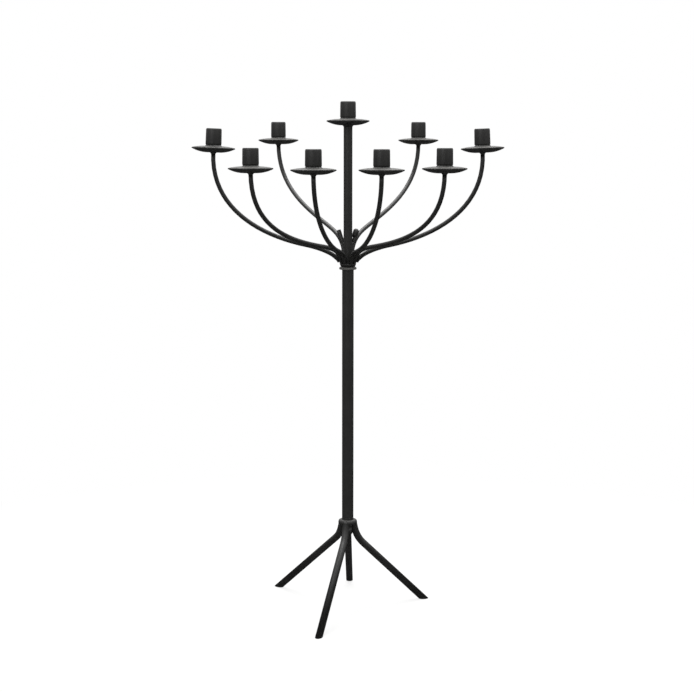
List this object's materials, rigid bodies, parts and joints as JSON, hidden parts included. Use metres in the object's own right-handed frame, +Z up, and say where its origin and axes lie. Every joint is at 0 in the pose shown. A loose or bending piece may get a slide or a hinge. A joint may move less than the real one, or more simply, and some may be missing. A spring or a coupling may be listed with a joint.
{
  "type": "floor candelabra",
  "caption": "Floor-standing candelabra of bent black steel bar: splayed legs, a slip-on pole and a turning tree of curved arms, each with a drip pan and a candle cup.",
  "frame": {"origin": "on the floor, on the axis of the pole", "axes": "+Z up along the pole, -Y the front as pictured, +X its right"},
  "size_m": [0.5244, 0.4763, 0.8815],
  "materials": {
    "black_coat": "satin black powder coat"
  },
  "bodies": {
    "base": {"base_collar": "black_coat", "base_spigot": "black_coat", "leg_back": "black_coat", "leg_front": "black_coat", "leg_left": "black_coat", "leg_right": "black_coat"},
    "pole": {"pole_tube": "black_coat"},
    "tree": {"arm_front_left": "black_coat", "arm_front_right": "black_coat", "arm_outer_left": "black_coat", "arm_outer_right": "black_coat", "arm_rear_left": "black_coat", "arm_rear_right": "black_coat", "arm_side_left": "black_coat", "arm_side_right": "black_coat", "centre_post": "black_coat", "cover_centre": "black_coat", "cover_front_left": "black_coat", "cover_front_right": "black_coat", "cover_outer_left": "black_coat", "cover_outer_right": "black_coat", "cover_rear_left": "black_coat", "cover_rear_right": "black_coat", "cover_side_left": "black_coat", "cover_side_right": "black_coat", "cup_centre": "black_coat", "cup_front_left": "black_coat", "cup_front_right": "black_coat", "cup_outer_left": "black_coat", "cup_outer_right": "black_coat", "cup_rear_left": "black_coat", "cup_rear_right": "black_coat", "cup_side_left": "black_coat", "cup_side_right": "black_coat", "pan_centre": "black_coat", "pan_front_left": "black_coat", "pan_front_right": "black_coat", "pan_outer_left": "black_coat", "pan_outer_right": "black_coat", "pan_rear_left": "black_coat", "pan_rear_right": "black_coat", "pan_side_left": "black_coat", "pan_side_right": "black_coat", "post_collar": "black_coat", "spur_left": "black_coat", "spur_right": "black_coat"}
  },
  "joints": [
    {"name": "pole_lift", "type": "slide", "parent": "base", "child": "pole", "axis": [0, 0, 1], "range_m": [0, 0.08]},
    {"name": "tree_swivel", "type": "hinge", "parent": "pole", "child": "tree", "pos_m": [0, 0, 0.5965], "axis": [0, 0, 1], "continuous": true}
  ]
}
